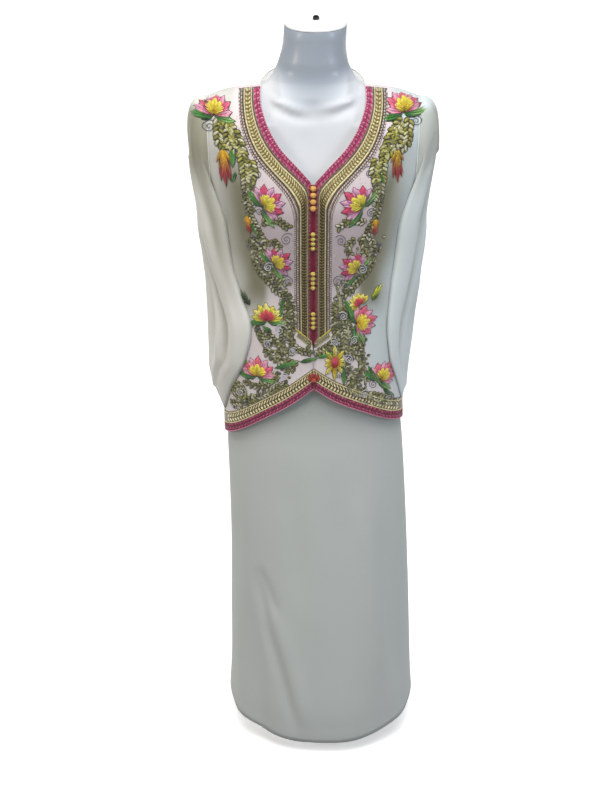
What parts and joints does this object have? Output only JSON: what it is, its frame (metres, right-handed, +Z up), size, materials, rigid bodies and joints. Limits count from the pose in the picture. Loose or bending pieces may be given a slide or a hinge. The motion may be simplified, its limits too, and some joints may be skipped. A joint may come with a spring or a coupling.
{
  "type": "kaftan dress on dress form",
  "caption": "Long kaftan dress with a hip-length sheer embroidered overlay and hanging sleeves, on an armless dress form on a pole stand.",
  "frame": {"origin": "centre of the part's footprint at the underside of the stand's base", "axes": "+Z up along the figure, -Y out of the garment's front, +X to the right as seen from the front"},
  "size_m": [0.4756, 0.3516, 1.5379],
  "materials": {
    "crepe": "matt white crepe",
    "chiffon": "sheer white chiffon",
    "gold_braid": "metallic thread braid in cream gold and olive",
    "crochet_edging": "magenta crochet edging",
    "crimson_cord": "crimson satin strip",
    "knot_thread": "yellow thread knots",
    "form_plastic": "glossy white lacquered plastic",
    "stand_steel": "satin steel"
  },
  "bodies": {
    "root": {"button_01": "knot_thread", "button_02": "knot_thread", "button_03": "knot_thread", "button_04": "knot_thread", "button_05": "knot_thread", "button_06": "knot_thread", "button_07": "knot_thread", "button_08": "knot_thread", "button_09": "knot_thread", "button_10": "knot_thread", "button_11": "knot_thread", "button_12": "knot_thread", "button_13": "knot_thread", "button_14": "knot_thread", "button_15": "knot_thread", "button_16": "knot_thread", "cap_knob": "stand_steel", "dress_back": "crepe", "dress_front": "crepe", "form_torso": "form_plastic", "hem_braid_left": "gold_braid", "hem_braid_right": "gold_braid", "hem_edging_left": "crochet_edging", "hem_edging_right": "crochet_edging", "neck_braid_left": "gold_braid", "neck_braid_right": "gold_braid", "neck_cap": "form_plastic", "neck_edging_left": "crochet_edging", "neck_edging_right": "crochet_edging", "notch_knot": "crimson_cord", "overlay_back": "chiffon", "overlay_front_left": "chiffon", "overlay_front_right": "chiffon", "placket_strip": "crimson_cord", "sleeve_left": "chiffon", "sleeve_right": "chiffon", "stand_base": "stand_steel", "stand_pole": "stand_steel"}
  },
  "joints": []
}
